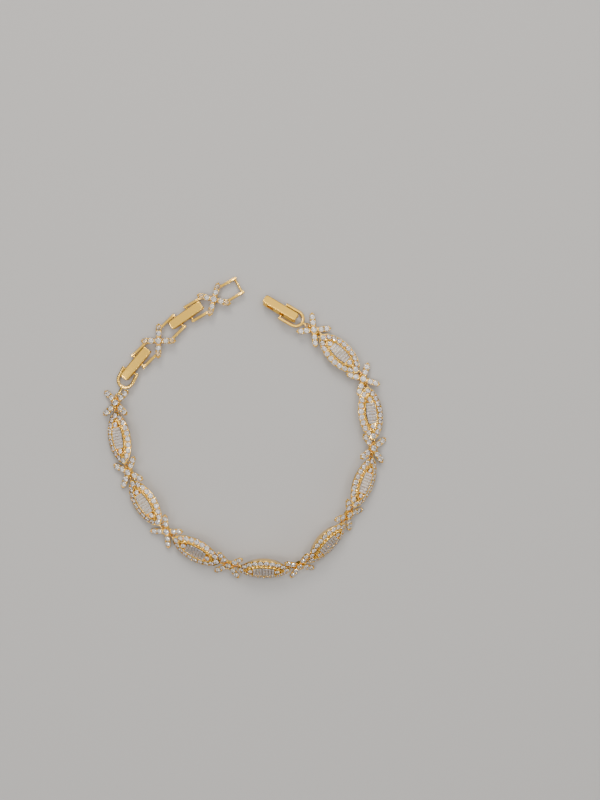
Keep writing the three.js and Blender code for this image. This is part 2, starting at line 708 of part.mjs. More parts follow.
function bracelet() {
  const chain = new THREE.Group();
  const joints = chainJoints();
  CHAIN.forEach((link, i) => {
    const place = new THREE.Group();
    place.applyMatrix4(linkMatrix(link, joints[i], joints[i + 1]));
    for (const [part, [shape, finish]] of Object.entries(KINDS[link.kind].solids)) {
      place.add(meshOf(link.name + part, shape, finish));
    }
    chain.add(place);
  });
  const bounds = new THREE.Box3().setFromObject(chain, true);
  const middle = bounds.getCenter(new THREE.Vector3());
  chain.position.set(-middle.x, -middle.y, -bounds.min.z);
  return new THREE.Group().add(chain);
}

export default bracelet();
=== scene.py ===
import json
from collections import namedtuple

import bmesh
import bpy
import numpy as np
from bpy.props import FloatProperty, FloatVectorProperty, IntProperty, PointerProperty
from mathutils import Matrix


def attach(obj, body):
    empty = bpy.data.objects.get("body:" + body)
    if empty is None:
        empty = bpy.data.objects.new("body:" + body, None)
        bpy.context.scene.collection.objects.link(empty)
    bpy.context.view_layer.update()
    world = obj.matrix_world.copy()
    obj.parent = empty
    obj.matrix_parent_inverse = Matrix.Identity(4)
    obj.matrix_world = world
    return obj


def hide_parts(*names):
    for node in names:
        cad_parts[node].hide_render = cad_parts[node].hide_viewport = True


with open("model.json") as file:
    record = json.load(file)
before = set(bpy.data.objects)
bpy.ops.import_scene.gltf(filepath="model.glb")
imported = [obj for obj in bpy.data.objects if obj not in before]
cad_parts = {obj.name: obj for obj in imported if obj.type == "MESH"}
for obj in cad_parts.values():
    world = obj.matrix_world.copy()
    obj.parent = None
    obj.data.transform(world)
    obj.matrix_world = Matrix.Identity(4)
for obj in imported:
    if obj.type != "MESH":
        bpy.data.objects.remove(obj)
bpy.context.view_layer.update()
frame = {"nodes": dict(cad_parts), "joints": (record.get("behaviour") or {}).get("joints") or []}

bl_info = {
    "name": "Leaf Bracelet",
    "version": (1, 0, 0),
    "blender": (4, 5, 0),
    "location": "3D View > Sidebar > Bracelet",
    "description": "Dresses the leaf bracelet's frame in polished gold and cut stones",
    "category": "Object",
}

MM = 0.001
UP = (0, 0, 1)


def size_in_mm(name, description, default):
    """Length that a user may change, with its default in millimetres."""
    return FloatProperty(
        name=name, description=description, default=default * MM, unit="LENGTH")


def colour_of(name, description, red, green, blue):
    """Colour that a user may change."""
    return FloatVectorProperty(
        name=name, description=description, subtype="COLOR", size=4, min=0, max=1,
        default=(red, green, blue, 1))


# ---- the chain ----

# heading is the way a link runs, in degrees from +X. roll is how far its face leans out of
# the loop.
Link = namedtuple("Link", "name kind heading roll")
CHAIN = [
    Link("clasp", "clasp", -31, 24),
    Link("bail", "bail", -30, 21),
    Link("flower_01", "flower", -39, 8),
    Link("leaf_01", "leaf", -44, 6),
    Link("flower_02", "flower", -62, 10),
    Link("leaf_02", "leaf", -83, 14),
    Link("flower_03", "flower", -97, 24),
    Link("leaf_03", "leaf", -111, 36),
    Link("flower_04", "flower", -122, 43),
    Link("leaf_04", "leaf", -133, 49),
    Link("flower_05", "flower", -158, 50),
    Link("leaf_05", "leaf", -181, 48),
    Link("flower_06", "flower", -195, 38),
    Link("leaf_06", "leaf", -208, 30),
    Link("flower_07", "flower", -223, 26),
    Link("leaf_07", "leaf", -237, 24),
    Link("flower_08", "flower", -249, 24),
    Link("leaf_08", "leaf", -259, 25),
    Link("flower_09", "flower", -272, 17),
    Link("d_ring", "d_ring", -297, 11),
    Link("extender_1", "extender", -310, 9),
    Link("flower_10", "framed", -315, 6),
    Link("extender_2", "extender", -325, 8),
    Link("flower_11", "framed", -330, 5),
]

# Where a link's joints lie along it, and the corners of its section that may touch the floor,
# as side and height, all in millimetres.
Kind = namedtuple("Kind", "start end feet")
UNIT_FEET = [(0.95, -0.85)]
FLOWER_FEET = [(0.16, -0.69), (4.5 * 0.5**0.5, 0.23)]
KINDS = {
    "clasp": Kind(0, 5.75, UNIT_FEET),
    "bail": Kind(0, 7.35, [(2.45, -0.3)]),
    "flower": Kind(-1.55, 1.55, FLOWER_FEET),
    "leaf": Kind(-7.2, 7.2, [(3.2 * 0.68, -0.69)]),
    "d_ring": Kind(-7.25, 0, [(2.35, -0.3)]),
    "extender": Kind(2.45, 5.75, UNIT_FEET),
    "framed": Kind(-7.05, 7.05, FLOWER_FEET),
}
HINGE_AT = 9.1  # of a cover, along its unit


def unit(vectors):
    """One vector, or rows of them, each brought to a length of 1."""
    return vectors / np.linalg.norm(vectors, axis=-1, keepdims=True)


def placed(columns, origin):
    """4 by 4 matrix with these three axes and this origin."""
    matrix = np.eye(4)
    matrix[:3, :3] = np.stack(columns, -1)
    matrix[:3, 3] = origin
    return matrix


def shifted(*place):
    """4 by 4 matrix that moves to a place and turns nothing."""
    return placed(np.eye(3), place)


def axis_height(link):
    """Height of a link's axis when its lowest corner touches the floor at its own roll."""
    roll = np.radians(link.roll)
    side, height = np.array(KINDS[link.kind].feet).T
    return (side * np.sin(roll) - height * np.cos(roll)).max()


def link_places():
    """Walks the chain joint by joint and returns each link's matrix, in metres. The whole is
    then moved so that the clasp's hinge falls on the frame's own."""
    heights = [axis_height(link) for link in CHAIN]
    at = np.array([0.0, 0.0, heights[0]])
    places = {}
    for index, link in enumerate(CHAIN):
        kind = KINDS[link.kind]
        height = (heights[index] + heights[min(index + 1, len(CHAIN) - 1)]) / 2
        run = np.sqrt((kind.end - kind.start) ** 2 - (height - at[2]) ** 2)
        heading = np.radians(link.heading)
        to = np.array([at[0] + run * np.cos(heading), at[1] + run * np.sin(heading), height])
        along = unit(to - at)
        left = unit(np.cross(UP, along))
        up = np.cross(along, left)
        cos, sin = np.cos(np.radians(link.roll)), np.sin(np.radians(link.roll))
        axes = (along, cos * left - sin * up, sin * left + cos * up)
        places[link.name] = placed(axes, (at - along * kind.start) * MM)
        at = to
    hinge = places["clasp"] @ [HINGE_AT * MM, 0, 0, 1]
    joint = next(j for j in frame["joints"] if j["child"] == "clasp_cover")
    shift = np.array(joint["pos_m"]) - hinge[:3]
    for matrix in places.values():
        matrix[:3, 3] += shift
    return places


# ---- parts: corners and faces as whole arrays ----

Part = namedtuple("Part", "points faces")  # faces is a list of arrays, one row a face


def even(count):
    """Turns that divide a full circle evenly."""
    return np.arange(count) * 2 * np.pi / count


def circle(turns, radius=1):
    """Points at these turns, x the radius times the cosine and y the radius times the sine."""
    return np.stack([radius * np.cos(turns), radius * np.sin(turns)], -1)


def at_height(outline, height):
    """Points of a flat outline at one height, or each at its own."""
    return np.column_stack([outline, np.zeros(len(outline)) + height])


def moved(part, matrix):
    """A part turned and moved by a matrix."""
    return Part(part.points @ matrix[:3, :3].T + matrix[:3, 3], part.faces)


def joined(parts):
    """Several parts as one, with their points and faces in a row."""
    starts = np.cumsum([0] + [len(part.points) for part in parts])
    faces = [rows + start for part, start in zip(parts, starts) for rows in part.faces]
    return Part(np.concatenate([part.points for part in parts]), faces)


def repeated(part, matrices):
    """One copy of a part at each matrix."""
    matrices = np.asarray(matrices)
    turned = np.einsum("kij,nj->kni", matrices[:, :3, :3], part.points)
    points = (turned + matrices[:, None, :3, 3]).reshape(-1, 3)
    steps = np.arange(len(matrices))[:, None, None] * len(part.points)
    faces = [(rows[None] + steps).reshape(-1, rows.shape[1]) for rows in part.faces]
    return Part(points, faces)


def skin(grid, round_again=False):
    """Closed surface over a grid of points, rows by columns. The columns run round it. The
    first and last rows are closed by a point in their middle, or joined to each other."""
    rows, columns = grid.shape[:2]
    index = np.arange(rows * columns).reshape(rows, columns)
    if round_again:
        index = np.concatenate([index, index[:1]])
    next_column = np.roll(index, -1, axis=1)
    quads = [index[:-1], next_column[:-1], next_column[1:], index[1:]]
    faces = [np.stack(quads, -1).reshape(-1, 4)]
    points = grid.reshape(-1, 3)
    if not round_again:
        low, top = len(points), len(points) + 1
        points = np.concatenate([points, grid[:1].mean(1), grid[-1:].mean(1)])
        fan = np.full(columns, low)
        faces.append(np.stack([index[0], fan, next_column[0]], -1))
        faces.append(np.stack([index[-1], next_column[-1], fan * 0 + top], -1))
    return Part(points, faces)


def lathe(profile, count):
    """Profile of radius and height turned about z, from its lowest point up."""
    turns = even(count)
    return skin(np.array([at_height(circle(turns, radius), height) for radius, height in profile]))


DOME = np.radians([0, 30, 60, 80])  # turns up a prong's head
WIRE_SIDES = 8
RING_STEPS = 22
QUARTER = np.radians([0, 30, 60, 90])  # turns of a rounded edge


def prong(radius, length):
    """Round wire with a domed head: its top is at z = 0 and it reaches down by its length."""
    dome = [(radius * np.cos(turn), radius * (np.sin(turn) - 1)) for turn in DOME]
    return lathe([(radius, -length)] + dome, WIRE_SIDES)


def oval(half_side, half_height, power, count):
    """Section that goes from an ellipse at power 2 towards a rectangle as power grows."""
    round_points = circle(even(count))
    return np.sign(round_points) * np.abs(round_points) ** (2 / power) * [half_side, half_height]


def swept(path, section, up, closed=False, shrink=1):
    """Section carried along a path. Its height follows up, and its side lies across the path.
    shrink is the section's share of its full size, for the whole path or point by point."""
    path = np.asarray(path, float)
    if closed:
        along = np.roll(path, -1, 0) - np.roll(path, 1, 0)
    else:
        along = np.gradient(path, axis=0)
    along = unit(along)
    side = unit(np.cross(up, along))
    lift = np.cross(along, side)
    size = np.zeros(len(path)) + shrink
    across = side[:, None] * section[None, :, :1] + lift[:, None] * section[None, :, 1:]
    return skin(path[:, None] + across * size[:, None, None], closed)


def rounded(radius, turns):
    """How far each point of an edge rounded by a quarter circle lies from its two sides:
    radius times 1 less the cosine, and radius times 1 less the sine."""
    return radius * (1 - circle(turns)).T


def soft_bar(start, end, section, up, rounding):
    """Straight bar whose edges at both ends are rounded by a quarter circle."""
    start, end = np.array([start, end], float)
    length = np.linalg.norm(end - start)
    near, drawn = rounded(rounding, QUARTER)
    drawn = drawn / np.abs(section).max()
    path = start + (end - start) * np.concatenate([near, length - near[::-1]])[:, None] / length
    return swept(path, section, up, shrink=1 - np.concatenate([drawn, drawn[::-1]]))


def ring(radius, wire, centre, axis):
    """Closed ring of round wire about an axis, 1 for y or 2 for z."""
    path = np.zeros((RING_STEPS, 3))
    path[:, (2, 0) if axis == 1 else (0, 1)] = circle(even(RING_STEPS), radius)
    section = oval(wire, wire, power=2, count=WIRE_SIDES)
    return swept(path + centre, section, np.eye(3)[axis], closed=True)


# ---- making pieces ----


def linked(name, data):
    """New object of this data, linked to the scene."""
    item = bpy.data.objects.new(name, data)
    bpy.context.scene.collection.objects.link(item)
    return item


def finished(name, mesh, material, body, nodes):
    """Object of a mesh in its material, which rides on a body and replaces CAD nodes."""
    mesh.materials.clear()
    mesh.materials.append(material)
    piece = linked(name, mesh)
    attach(piece, body)
    if nodes:
        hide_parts(*nodes)
    return piece


SOFT_ANGLE = np.radians(38)


def make_piece(name, part, material, body, nodes=(), soft=False):
    """Puts a part into a mesh object that rides on a body. A soft piece's faces are shaded as
    one across edges of less than the soft angle."""
    mesh = bpy.data.meshes.new(name)
    faces = [face for rows in part.faces for face in rows.tolist()]
    mesh.from_pydata(part.points.tolist(), [], faces)
    mesh.validate()
    mesh.polygons.foreach_set("use_smooth", np.full(len(mesh.polygons), soft))
    if soft:
        mesh.set_sharp_from_angle(angle=SOFT_ANGLE)
    finished(name, mesh, material, body, nodes)


def make_gold(name, part, node):
    """Piece of polished gold on the chain, in place of a CAD node."""
    make_piece(name, part, finish_of("polished gold"), "chain", [node], soft=True)


def make_stones(name, part, nodes=(), finish="cut stone"):
    """Piece of one or more cut stones on the chain."""
    make_piece(name, part, finish_of(finish), "chain", nodes)


def links_of(*kinds):
    """Names and matrices of all the links of these kinds."""
    places = link_places()
    return [(link.name, places[link.name]) for link in CHAIN if link.kind in kinds]


# ---- stones ----

CROWN = np.radians(34.5)
PAVILION = np.radians(40.8)
TABLE = 0.57  # radii of the table's, the star facets' and the keels' points
STAR = 0.78
KEEL = 0.2


def brilliant(radius):
    """Round brilliant cut of 57 facets about z, with its girdle at z = 0. The crown's and the
    pavilion's main facets are planes through the girdle at fixed angles, and the points between
    them lie on those planes."""
    half = np.pi / 8
    star_height = (1 - STAR * np.cos(half)) * np.tan(CROWN)
    keel_height = (KEEL * np.cos(half) - 1) * np.tan(PAVILION)
    points = np.concatenate([
        at_height(circle(even(8), TABLE), (1 - TABLE) * np.tan(CROWN)),
        at_height(circle(even(8) + half, STAR), star_height),
        at_height(circle(even(16)), 0),
        at_height(circle(even(8) + half, KEEL), keel_height),
        [[0, 0, -np.tan(PAVILION)]],
    ])
    # The points' numbers: the table's from 0, the stars' from 8, the girdle's from 16, the
    # keels' from 32, and the culet 40.
    k = np.arange(8)
    after, before = (k + 1) % 8, (k - 1) % 8
    table, stars, rim, keels = k, 8 + k, 16 + 2 * k, 32 + k
    rim_half, rim_next = rim + 1, 16 + 2 * after
    culet = np.full(8, 40)
    facets = [
        (table, stars, after),
        (8 + before, rim, stars, table),
        (stars, rim, rim_half),
        (stars, rim_half, rim_next),
        (keels, rim_half, rim),
        (keels, rim_next, rim_half),
        (culet, keels, rim, 32 + before),
    ]
    return Part(points * radius, [table[None]] + [np.stack(row, -1) for row in facets])


# Each step of a step-cut stone: how far its outline is drawn in and its height, in
# millimetres from the girdle.
Step = namedtuple("Step", "inset height")
BAGUETTE_STEPS = [
    Step(0.27, -0.4),
    Step(0.12, -0.22),
    Step(0, -0.02),
    Step(0, 0.02),
    Step(0.05, 0.09),
    Step(0.13, 0.17),
]
WIDEST_INSET = 0.8  # of half a stone's length


def baguette(middle, length, half_near, half_far, height):
    """Tapered step cut, loft of its four-cornered outline through the steps."""
    half = length / 2
    corners = np.array([
        (-half, -half_near), (half, -half_far), (half, half_far), (-half, half_near),
    ])
    rows = []
    for step in BAGUETTE_STEPS:
        inset = min(step.inset * MM, half * WIDEST_INSET)
        drawn = corners - np.sign(corners) * inset
        rows.append(at_height(drawn + [middle, 0], height + step.height * MM))
    return skin(np.array(rows))


# ---- leaf ----


LENS_POWER = 1.25  # 1 gives an ellipse, and more a sharper point
OUTLINE_STEPS = 4000  # in which the length of a lens's outline is measured


def lens(turn, half_length, half_width):
    """Pointed oval: x is the cosine of the turn, and y its sine to the lens power."""
    cos, sin = circle(turn).T
    y = half_width * np.sign(sin) * np.abs(sin) ** LENS_POWER
    return np.stack([half_length * cos, y], -1)


def even_turns(size, count, offset=0.0):
    """Turns that divide a lens's outline into equal lengths, from its +x point."""
    turn = np.linspace(0, 2 * np.pi, OUTLINE_STEPS + 1)
    steps = np.linalg.norm(np.diff(lens(turn, *size), axis=0), axis=1)
    length = np.concatenate([[0], np.cumsum(steps)])
    wanted = (np.arange(count) + offset) * length[-1] / count
    return np.interp(wanted, length, turn)


def outward(outline):
    """Unit normals of a closed outline that runs counter-clockwise."""
    along = np.roll(outline, -1, 0) - np.roll(outline, 1, 0)
    return unit(np.stack([along[:, 1], -along[:, 0]], -1))


def on_outline(size, turns, height, lean, shift=0.0):
    """Matrices on a lens's outline, x along it and z leaning outwards by lean radians, moved
    outwards down the slope by shift."""
    fine = 1e-4
    along = unit(lens(turns + fine, *size) - lens(turns - fine, *size))
    zero = np.zeros(len(turns))
    side = np.column_stack([along[:, 1], -along[:, 0], zero])
    up = np.cos(lean) * np.array(UP) + np.sin(lean) * side
    x_axis = np.column_stack([along, zero])
    y_axis = np.cross(up, x_axis)
    origin = at_height(lens(turns, *size), height) - y_axis * shift
    matrices = np.tile(np.eye(4), (len(turns), 1, 1))
    matrices[:, :3, 0], matrices[:, :3, 1], matrices[:, :3, 2] = x_axis, y_axis, up
    matrices[:, :3, 3] = origin
    return matrices


def lifted(matrices, rise):
    """The same matrices, moved up along their own z."""
    matrices = matrices.copy()
    matrices[:, :3, 3] += matrices[:, :3, 2] * rise
    return matrices


class LeafSizes(bpy.types.PropertyGroup):
    """Sizes of the leaves and their stones"""

    rim_length: size_in_mm("Rim half length", "From a leaf's middle to its tip", 6.6)
    rim_width: size_in_mm("Rim half width", "From a leaf's middle to its side", 3.16)
    tier_length: size_in_mm("Tier half length", "From the middle to the raised tier's point", 4.75)
    tier_width: size_in_mm("Tier half width", "From the middle to the raised tier's side", 1.75)
    stones: IntProperty(
        name="Stones", description="Round stones on the slope of a leaf", default=18)
    stone_radius: size_in_mm("Stone radius", "Of the round stones on the slope", 0.66)
    end_radius: size_in_mm("End stone radius", "Of the stone at each point of the tier", 0.6)
    grains: IntProperty(
        name="Grains", description="Beads of the border round the tier", default=54)
    grain_radius: size_in_mm("Grain radius", "Of the border's beads", 0.17)
    baguettes: IntProperty(
        name="Baguettes", description="Stones across the middle of a leaf", default=7)
    pitch: size_in_mm("Baguette pitch", "From one baguette to the next", 0.75)


EYE_WIRE = 0.16 * MM
EYE_RADIUS = 0.53 * MM
EYE_REACH = EYE_WIRE + 0.075 * MM
NECK_PLAY = 0.03 * MM
SLOPE_LOW = 1.12 * MM  # heights of the stones' slope at the rim and at the tier
SLOPE_TOP = 1.48 * MM
SLOPE_MIDDLE = (SLOPE_LOW + SLOPE_TOP) / 2
SLOPE_LEAN = np.radians(14.5)
SLOPE_RISE = 0.03 * MM  # of its stones' girdles above it
TIER_TOP = 1.91 * MM
BORDER = 0.36 * MM  # width of the tier's border round the row's seat
SCALLOP = 0.11 * MM
SCALLOP_MEAN = 0.6  # share of a scallop that is cut in between two stones
CUP_DEPTH = 0.62 * MM
CUP_NARROWEST = 0.04 * MM
STEPS_PER_STONE = 12
GAP_PRONG = 0.2 * MM  # radius of the slope's prongs
GAP_PRONG_SHIFT = 0.48 * MM
GAP_PRONG_RISE = 0.2 * MM
GRAIN_RISE = 0.1 * MM
FOOT = 0.3 * MM  # length of a prong or bead down into the metal
END_AT = 3.36 * MM  # of the tier's end stones, from the leaf's middle
END_GIRDLE = 1.95 * MM
END_PRONG = 0.14 * MM
END_PRONG_GAP = 0.05 * MM  # from the stone to the prong's middle
END_PRONG_RISE = 0.13 * MM
END_PRONG_LENGTH = 0.5 * MM
END_PRONG_TURNS = np.radians([40, 140, 220, 320])
ROW_PLAY = 0.07 * MM
ROW_GIRDLE = 1.99 * MM
NECK_FROM = 4.3 * MM
NECK_HALF = 0.28 * MM
BAR_ROUNDING = 0.05 * MM  # of the ends of necks and cross bars

# A leaf's section, line by line. Each wall is the line's lens drawn to a share of its size and
# then in by an inset, at a height, with a share of the scallops. Lengths are in millimetres.
Wall = namedtuple("Wall", "share inset height scallop")
WALLS = {
    "rim": [
        Wall(0.3, 0, 0.21, 0),
        Wall(0.6, 0, 0.21, 0),
        Wall(0.62, 0, 0.15, 0),
        Wall(0.625, 0, -0.6, 0),
        Wall(0.64, 0, -0.68, 0),
        Wall(0.67, 0, -0.69, 0),
        Wall(0.69, 0, -0.62, 0),
        Wall(0.93, 0, 0.72, 0),
        Wall(0.955, 0, 0.82, 0.4),
        Wall(0.98, 0, 0.88, 0.8),
        Wall(0.995, 0, 0.95, 1),
        Wall(1, 0, 1.02, 1),
        Wall(1, 0.01, 1.09, 1),
        Wall(1, 0.04, 1.14, 1),
        Wall(1, 0.08, 1.15, 1),
    ],
    "tier": [
        Wall(1, -0.03, 1.5, 0),
        Wall(1, 0, 1.56, 1.2),
        Wall(1, 0, 1.8, 1.2),
        Wall(1, 0.04, 1.88, 1.2),
        Wall(1, 0.1, 1.91, 0.8),
    ],
    "seat": [
        Wall(1, -0.05, 1.91, 0),
        Wall(1, 0, 1.88, 0),
        Wall(1, 0.02, 1.75, 0),
        Wall(1, 0.1, 1.45, 0),
        Wall(0.4, 0, 1.4, 0),
    ],
}
# The cups of the slope's stones, from the rim to the tier: place across the cup from -1 to 1,
# and share of its depth.
CUP = [(-1, 0), (-0.93, 0.1), (-0.4, 0.85), (0, 1), (0.4, 0.85), (0.93, 0.1), (1, 0)]


def leaf_lines(sizes):
    """Half length and half width of the rim, the tier, the line midway, and the row's seat."""
    rim = np.array([sizes.rim_length, sizes.rim_width])
    tier = np.array([sizes.tier_length, sizes.tier_width])
    return {"rim": rim, "tier": tier, "middle": (rim + tier) / 2, "seat": tier - BORDER}


def leaf_shell(sizes):
    """Shell of a leaf: its outline carried through one section, from the middle of the hollow
    back, out and up round the rim, over the slope, up the tier and down to the middle of the
    row's seat. The outline and the tier have a scallop at each stone of the slope: the cosine of
    pi times the distance from the stone's middle in pitches, less its mean. The slope dips to a
    cone under each stone: across it the dip is as wide as the stone's circle at that column, and
    its depth shrinks with its width."""
    lines = leaf_lines(sizes)
    count = sizes.stones * STEPS_PER_STONE
    turns = even_turns(lines["middle"], count)
    rim, tier = lens(turns, *lines["rim"]), lens(turns, *lines["tier"])
    middle = lens(turns, *lines["middle"])
    pitch = np.linalg.norm(np.roll(middle, -1, 0) - middle, axis=1).sum() / sizes.stones
    from_stone = (np.arange(count) / STEPS_PER_STONE + 0.5) % 1 - 0.5
    bulge = (np.cos(np.pi * from_stone) - SCALLOP_MEAN) * SCALLOP
    radius = sizes.stone_radius
    reach = np.sqrt(np.maximum(radius**2 - (from_stone * pitch) ** 2, CUP_NARROWEST**2))

    walls = {}
    for line, rows in WALLS.items():
        walls[line] = []
        for row in rows:
            outline = lens(turns, *(lines[line] * row.share - row.inset * MM))
            outline = outline + outward(outline) * (bulge * row.scallop)[:, None]
            walls[line].append(at_height(outline, row.height * MM))
    cups = []
    for share, depth in CUP:
        across = 0.5 + share * reach / np.linalg.norm(rim - tier, axis=1)
        slope = SLOPE_LOW + (SLOPE_TOP - SLOPE_LOW) * across
        height = slope - depth * CUP_DEPTH * reach / radius
        cups.append(at_height(rim + (tier - rim) * across[:, None], height))
    return skin(np.array(walls["rim"] + cups + walls["tier"] + walls["seat"]))


def leaf_prongs(sizes):
    """Prongs in pairs between the stones of the slope, beads round the tier's border, and four
    prongs at each end stone."""
    lines = leaf_lines(sizes)
    gaps = even_turns(lines["middle"], sizes.stones, 0.5)
    pair = [
        on_outline(lines["middle"], gaps, SLOPE_MIDDLE, SLOPE_LEAN, shift)
        for shift in (GAP_PRONG_SHIFT, -GAP_PRONG_SHIFT)
    ]
    border = lines["tier"] - BORDER / 2
    grains = on_outline(border, even_turns(border, sizes.grains), TIER_TOP, 0)
    corners = circle(END_PRONG_TURNS, sizes.end_radius + END_PRONG_GAP)
    height = END_GIRDLE + END_PRONG_RISE
    ends = [shifted(side * END_AT + x, y, height) for side in (-1, 1) for x, y in corners]
    return [
        repeated(prong(GAP_PRONG, FOOT), lifted(np.concatenate(pair), GAP_PRONG_RISE)),
        repeated(prong(sizes.grain_radius, FOOT), lifted(grains, GRAIN_RISE)),
        repeated(prong(END_PRONG, END_PRONG_LENGTH), ends),
    ]


def eye_and_neck(side, joint, neck_from):
    """Flat-lying eye beyond a joint, and the neck that carries it."""
    centre = joint + EYE_REACH - EYE_RADIUS
    start = (side * neck_from, 0, 0)
    end = (side * (centre - EYE_RADIUS + NECK_PLAY), 0, 0)
    section = oval(NECK_HALF, EYE_WIRE, power=3, count=12)
    neck = soft_bar(start, end, section, UP, BAR_ROUNDING)
    return [ring(EYE_RADIUS, EYE_WIRE, (side * centre, 0, 0), 2), neck]


def leaf_metal(sizes):
    """A leaf's shell with its prongs, and an eye on a neck at both ends."""
    parts = [leaf_shell(sizes)] + leaf_prongs(sizes)
    for side in (-1, 1):
        parts += eye_and_neck(side, KINDS["leaf"].end * MM, NECK_FROM)
    return joined(parts)


def leaf_rounds(sizes):
    """The slope's stones, and the two at the tier's points."""
    middle = leaf_lines(sizes)["middle"]
    turns = even_turns(middle, sizes.stones)
    slope = lifted(on_outline(middle, turns, SLOPE_MIDDLE, SLOPE_LEAN), SLOPE_RISE)
    ends = [shifted(side * END_AT, 0, END_GIRDLE) for side in (-1, 1)]
    return joined([
        repeated(brilliant(sizes.stone_radius), slope),
        repeated(brilliant(sizes.end_radius), ends),
    ])


def leaf_row(sizes):
    """The row of baguettes. Their ends follow the lens of the row's seat: its half width at x is
    that at the middle times (1 - x squared over its half length squared) to half the power."""
    seat_length, seat_width = leaf_lines(sizes)["seat"]
    edges = (np.arange(sizes.baguettes + 1) - sizes.baguettes / 2) * sizes.pitch
    halves = seat_width * (1 - (edges / seat_length) ** 2) ** (LENS_POWER / 2) - ROW_PLAY
    middles = (edges[:-1] + edges[1:]) / 2
    length = sizes.pitch - ROW_PLAY
    return joined([
        baguette(middle, length, near, far, ROW_GIRDLE)
        for middle, near, far in zip(middles, halves[:-1], halves[1:])
    ])


# ---- flower ----


class FlowerSizes(bpy.types.PropertyGroup):
    """Sizes of the flowers and their stones"""

    stone_radius: size_in_mm("Petal stone radius", "Of the two stones on each petal", 0.67)
    first_stone: size_in_mm(
        "First stone", "From the flower's middle to a petal's first stone", 1.86)
    second_stone: size_in_mm(
        "Second stone", "From the flower's middle to a petal's second stone", 3.3)
    petal_tip: size_in_mm("Petal tip", "From the flower's middle to a petal's tip", 4.48)
    petal_width: size_in_mm("Petal half width", "Half the width of a petal", 0.79)
    centre_radius: size_in_mm("Centre stone radius", "Of the stone in the flower's middle", 0.77)
    hub_radius: size_in_mm("Hub radius", "Of the cup under the centre stone", 0.98)


PETAL_ROOT = 0.75 * MM
PETAL_COLUMNS = 56
PETAL_POWER = 0.8  # of its outline at the root: 1 gives an ellipse, and less a fuller end
TIP_POWER = 1.7  # of its outline at the tip, which it draws to a point
PETAL_GIRDLE = 0.62 * MM
WAIST_DEPTH = 0.2
WAIST_REACH = 0.36 * MM
CENTRE_GIRDLE = 0.84 * MM
# A petal's wall, as inset and height, and the cups of its two stones, as share of the stone's
# radius and height, in millimetres.
PETAL_WALL = [(0.14, 0.17), (0.12, 0.2), (0.02, 0.42), (0, 0.5), (0.02, 0.56), (0.06, 0.59)]
PETAL_CUPS = [(1, 0.59), (0.97, 0.52), (0.7, 0.25), (0.6, 0.17)]


def petal_shell(sizes):
    """Wall and top of a petal: a band round its outline, with no floor. The outline is an oval
    pinched between the two stones. Its half width is the sine to a power that grows with the
    cosine squared towards the tip. The band's inner edge follows the nearer stone."""
    cos, sin = circle(even(PETAL_COLUMNS) + np.pi / PETAL_COLUMNS).T
    power = PETAL_POWER + (TIP_POWER - PETAL_POWER) * np.maximum(cos, 0) ** 2
    middle = (PETAL_ROOT + sizes.petal_tip) / 2
    half = (sizes.petal_tip - PETAL_ROOT) / 2
    waist = (sizes.first_stone + sizes.second_stone) / 2
    grid = []
    for inset, height in np.array(PETAL_WALL) * MM:
        x = middle + (half - inset) * cos
        pinch = 1 - WAIST_DEPTH * np.exp(-(((x - waist) / WAIST_REACH) ** 2))
        y = (sizes.petal_width * pinch - inset) * np.sign(sin) * np.abs(sin) ** power
        grid.append(at_height(np.stack([x, y], -1), height))
    outline = grid[-1][:, :2]
    stone = np.where(outline[:, 0] < waist, sizes.first_stone, sizes.second_stone)
    stone = np.column_stack([stone, 0 * stone])
    away = unit(outline - stone)
    for share, height in PETAL_CUPS:
        edge = away * sizes.stone_radius * share + stone
        grid.append(at_height(edge, height * MM))
    return skin(np.array(grid), round_again=True)


# Prongs of one petal, in millimetres: place along it and to its sides, wire radius and top.
PetalProng = namedtuple("PetalProng", "along sides wire top")
PETAL_PRONGS = [
    PetalProng(1.2, (-0.5, 0.5), 0.17, 0.8),
    PetalProng(2.58, (-0.53, 0.53), 0.22, 0.84),
    PetalProng(3.86, (-0.46, 0.46), 0.17, 0.8),
    PetalProng(4.2, (0,), 0.22, 0.84),
]
PETAL_PRONG_LENGTH = 0.6 * MM
PETALS = 4
PETAL_TURN = np.pi / 4  # of the first petal from the chain's line
BRIDGE_HALF = 0.5 * MM  # of the bar between a petal's two stones
BRIDGE_HEIGHT = 0.46 * MM
BRIDGE_SECTION = oval(0.13 * MM, 0.1 * MM, power=3, count=10)
BRIDGE_ROUNDING = 0.03 * MM


def around(count, start=0.0):
    """Matrices that turn about z in equal steps."""
    cos, sin = circle(start + even(count)).T
    matrices = np.tile(np.eye(4), (count, 1, 1))
    matrices[:, 0, 0], matrices[:, 0, 1] = cos, -sin
    matrices[:, 1, 0], matrices[:, 1, 1] = sin, cos
    return matrices


def petal(sizes):
    """A petal's shell, the bridge between its two stones, and its prongs."""
    waist = (sizes.first_stone + sizes.second_stone) / 2
    start, end = (waist, -BRIDGE_HALF, BRIDGE_HEIGHT), (waist, BRIDGE_HALF, BRIDGE_HEIGHT)
    parts = [petal_shell(sizes), soft_bar(start, end, BRIDGE_SECTION, UP, BRIDGE_ROUNDING)]
    for row in PETAL_PRONGS:
        wire = prong(row.wire * MM, PETAL_PRONG_LENGTH)
        parts += [
            moved(wire, shifted(row.along * MM, side * MM, row.top * MM)) for side in row.sides
        ]
    return joined(parts)


# Profile of a flower's hub, in millimetres: its foot and seat as radius and height, and its wall
# as inset from the hub's radius and height.
HUB_FOOT = (0.62, -0.4)
HUB_SEAT = (0.3, 0.12)
HUB_WALL = [(0.16, -0.42), (0.1, -0.36), (0.12, 0.1), (0.08, 0.5), (0.1, 0.7), (0.14, 0.76)]
HUB_PRONG = 0.24 * MM
HUB_PRONG_GAP = 0.05 * MM
HUB_PRONG_TOP = 1.1 * MM
HUB_PRONG_LENGTH = 0.7 * MM


